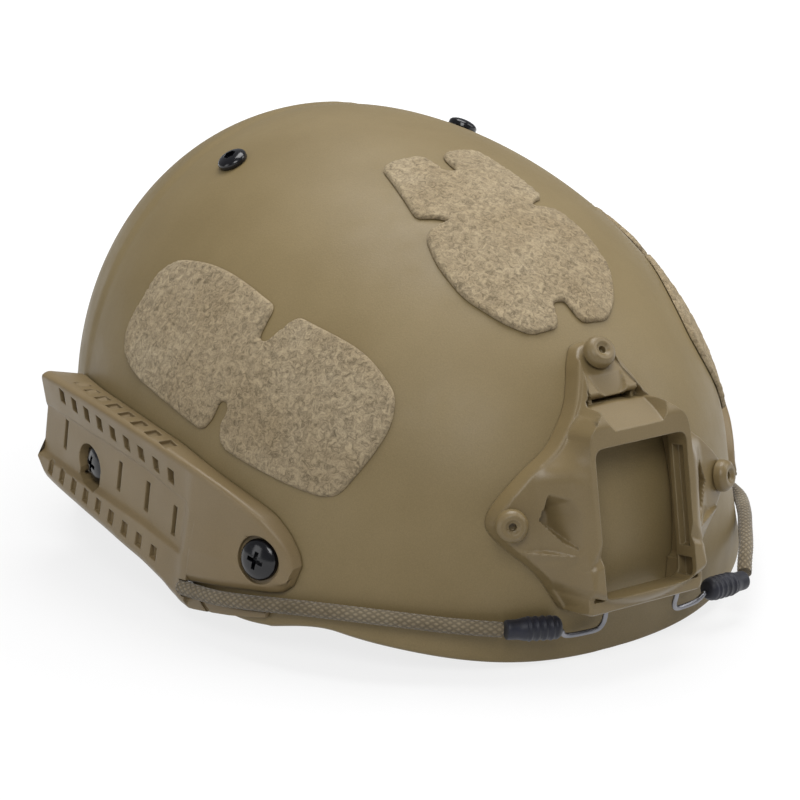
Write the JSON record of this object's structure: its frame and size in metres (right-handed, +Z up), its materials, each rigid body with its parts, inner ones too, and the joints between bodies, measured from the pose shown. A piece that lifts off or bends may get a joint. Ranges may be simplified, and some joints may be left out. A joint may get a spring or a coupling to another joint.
{
  "type": "combat helmet",
  "caption": "High cut combat helmet with side rails, front mounting shroud, loop patches, bungee cords and a dial fitted head suspension.",
  "frame": {"origin": "middle of the footprint on the surface that the helmet stands on", "axes": "+Z up, front of the helmet towards -Y, wearer's left towards +X"},
  "size_m": [0.226, 0.2814, 0.1487],
  "materials": {
    "shell_paint": "satin, fine grain",
    "rail_plastic": "satin, fine grain",
    "shroud_plastic": "satin",
    "loop_fabric": "loop pile",
    "cord_fabric": "braided",
    "ferrule_rubber": "ribbed, matte",
    "steel": "plain",
    "black_metal": "gloss black",
    "foam": "knitted cover over foam",
    "webbing": "woven",
    "pinion_plastic": "moulded",
    "black_plastic": "moulded, fine grain"
  },
  "bodies": {
    "root": {"shell": "shell_paint", "right_rail": "rail_plastic", "left_rail": "rail_plastic", "rail_screws": "black_metal", "rail_nuts": "steel", "shroud": "shroud_plastic", "shroud_screws": "shroud_plastic", "shroud_nuts": "steel", "right_side_patch": "loop_fabric", "left_side_patch": "loop_fabric", "top_patch": "loop_fabric", "rear_patch": "loop_fabric", "crown_bolts": "black_metal", "crown_nuts": "steel", "right_cord": "cord_fabric", "left_cord": "cord_fabric", "right_ferrule": "ferrule_rubber", "left_ferrule": "ferrule_rubber", "right_hook": "steel", "left_hook": "steel", "crown_pad": "foam", "front_pad": "foam", "rear_pad": "foam", "right_side_pad": "foam", "left_side_pad": "foam", "right_band_arm": "black_plastic", "left_band_arm": "black_plastic", "right_hanger": "webbing", "left_hanger": "webbing", "dial_housing": "black_plastic", "dial_cover": "black_plastic", "nape_pad": "foam", "right_front_strap": "webbing", "left_front_strap": "webbing", "right_rear_strap": "webbing", "left_rear_strap": "webbing", "strap_sliders": "black_plastic", "right_chin_strap": "webbing", "left_chin_strap": "webbing", "chin_cup": "foam", "buckle_socket": "black_plastic", "buckle_plug": "black_plastic"},
    "dial": {"dial_pinion": "pinion_plastic", "dial_knob": "black_plastic", "knob_screw": "steel"},
    "left_rack": {"left_rack": "black_plastic"},
    "right_rack": {"right_rack": "black_plastic"}
  },
  "joints": [
    {"name": "dial_turn", "type": "hinge", "parent": "root", "child": "dial", "pos_m": [0, 0.02478, 0.02479], "axis": [0, 0.9969, -0.0785], "range_deg": [-150, 150]},
    {"name": "left_strap_travel", "type": "hinge", "parent": "root", "child": "left_rack", "pos_m": [0, 0.02478, 0.02479], "axis": [0, 0.0785, 0.9969], "range_deg": [-11, 11]},
    {"name": "right_strap_travel", "type": "hinge", "parent": "root", "child": "right_rack", "pos_m": [0, 0.02478, 0.02479], "axis": [0, 0.0785, 0.9969], "range_deg": [-11, 11]}
  ],
  "couplings": [
    {"joint": "left_strap_travel", "follows": "dial_turn", "ratio": -0.072355},
    {"joint": "right_strap_travel", "follows": "dial_turn", "ratio": 0.070526}
  ]
}
